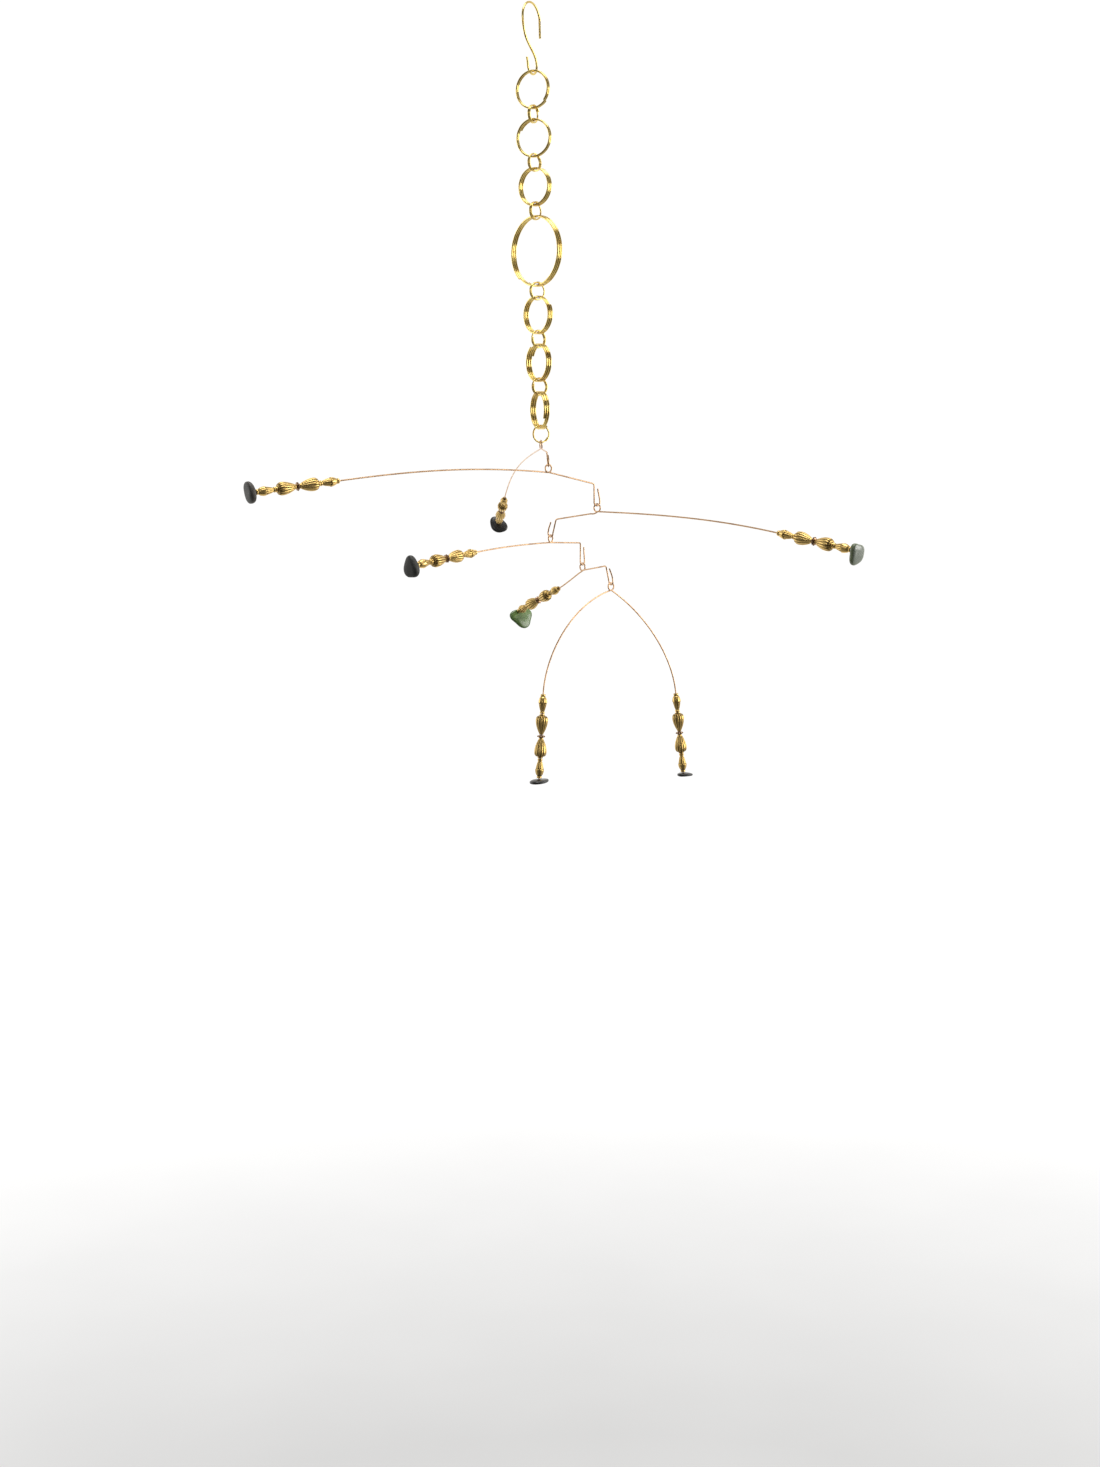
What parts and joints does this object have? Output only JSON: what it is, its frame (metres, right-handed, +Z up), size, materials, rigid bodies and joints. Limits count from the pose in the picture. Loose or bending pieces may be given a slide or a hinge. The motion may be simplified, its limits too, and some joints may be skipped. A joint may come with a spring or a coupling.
{
  "type": "hanging mobile sculpture",
  "caption": "Balanced wire mobile: an S-hook, a chain of wound brass coils and links, and nested swinging arms whose bead strings end in drilled stones.",
  "frame": {"origin": "inner top of the S-hook's upper bend, where it sits on its rail", "axes": "+Z up, +X to the viewer's right, +Y away from the viewer"},
  "size_m": [0.551, 0.7146, 0.789],
  "materials": {
    "brass_wire": "polished",
    "bronze_wire": "satin",
    "bead_metal": "antique, darker in the recesses",
    "black_stone": "polished",
    "grey_stone": "matt",
    "olive_stone": "polished",
    "green_stone": "polished, slightly translucent"
  },
  "bodies": {
    "hanger": {"s_hook": "brass_wire", "coil_1": "brass_wire", "coil_2": "brass_wire", "coil_3": "brass_wire", "coil_4": "brass_wire", "coil_5": "brass_wire", "coil_6": "brass_wire", "coil_7": "brass_wire", "link_1": "brass_wire", "link_2": "brass_wire", "link_3": "brass_wire", "link_4": "brass_wire", "link_5": "brass_wire", "link_6": "brass_wire", "link_7": "brass_wire"},
    "arm_1": {"arm_1_wire": "bronze_wire", "arm_1_small_bead_inner": "bead_metal", "arm_1_drop_bead_inner": "bead_metal", "arm_1_drop_bead_outer": "bead_metal", "arm_1_small_bead_outer": "bead_metal", "arm_1_stone": "black_stone"},
    "arm_2": {"arm_2_wire": "bronze_wire", "arm_2_small_bead_inner": "bead_metal", "arm_2_drop_bead_inner": "bead_metal", "arm_2_drop_bead_outer": "bead_metal", "arm_2_small_bead_outer": "bead_metal", "arm_2_stone": "grey_stone"},
    "arm_3": {"arm_3_wire": "bronze_wire", "arm_3_small_bead_inner": "bead_metal", "arm_3_drop_bead_inner": "bead_metal", "arm_3_drop_bead_outer": "bead_metal", "arm_3_small_bead_outer": "bead_metal", "arm_3_stone": "olive_stone"},
    "arm_4": {"arm_4_wire": "bronze_wire", "arm_4_small_bead_inner": "bead_metal", "arm_4_drop_bead_inner": "bead_metal", "arm_4_drop_bead_outer": "bead_metal", "arm_4_small_bead_outer": "bead_metal", "arm_4_stone": "black_stone"},
    "arm_5": {"arm_5_wire": "bronze_wire", "arm_5_small_bead_inner": "bead_metal", "arm_5_drop_bead_inner": "bead_metal", "arm_5_drop_bead_outer": "bead_metal", "arm_5_small_bead_outer": "bead_metal", "arm_5_stone": "green_stone"},
    "arm_6": {"arm_6_wire": "bronze_wire", "arm_6_near_small_bead_inner": "bead_metal", "arm_6_near_drop_bead_inner": "bead_metal", "arm_6_near_drop_bead_outer": "bead_metal", "arm_6_near_small_bead_outer": "bead_metal", "arm_6_near_stone": "black_stone", "arm_6_far_small_bead_inner": "bead_metal", "arm_6_far_drop_bead_inner": "bead_metal", "arm_6_far_drop_bead_outer": "bead_metal", "arm_6_far_small_bead_outer": "bead_metal", "arm_6_far_stone": "black_stone"}
  },
  "joints": [
    {"name": "arm_1_swing", "type": "hinge", "parent": "hanger", "child": "arm_1", "pos_m": [0, 0, -0.4363], "axis": [0, 0, 1], "range_deg": [-21, 57]},
    {"name": "arm_2_swing", "type": "hinge", "parent": "arm_1", "child": "arm_2", "pos_m": [0.00698, -0.05687, -0.4615], "axis": [0, 0, 1], "range_deg": [-60, 8]},
    {"name": "arm_3_swing", "type": "hinge", "parent": "arm_2", "child": "arm_3", "pos_m": [0.05445, -0.02605, -0.501], "axis": [0, 0, 1], "range_deg": [-46, 24]},
    {"name": "arm_4_swing", "type": "hinge", "parent": "arm_3", "child": "arm_4", "pos_m": [0.00763, 0.0216, -0.5317], "axis": [0, 0, 1], "range_deg": [-42, 30]},
    {"name": "arm_5_swing", "type": "hinge", "parent": "arm_4", "child": "arm_5", "pos_m": [0.04009, 0.06028, -0.5622], "axis": [0, 0, 1], "range_deg": [-22, 50]},
    {"name": "arm_6_swing", "type": "hinge", "parent": "arm_5", "child": "arm_6", "pos_m": [0.06791, 0.01826, -0.5817], "axis": [0, 0, 1], "range_deg": [-38, 34]}
  ]
}
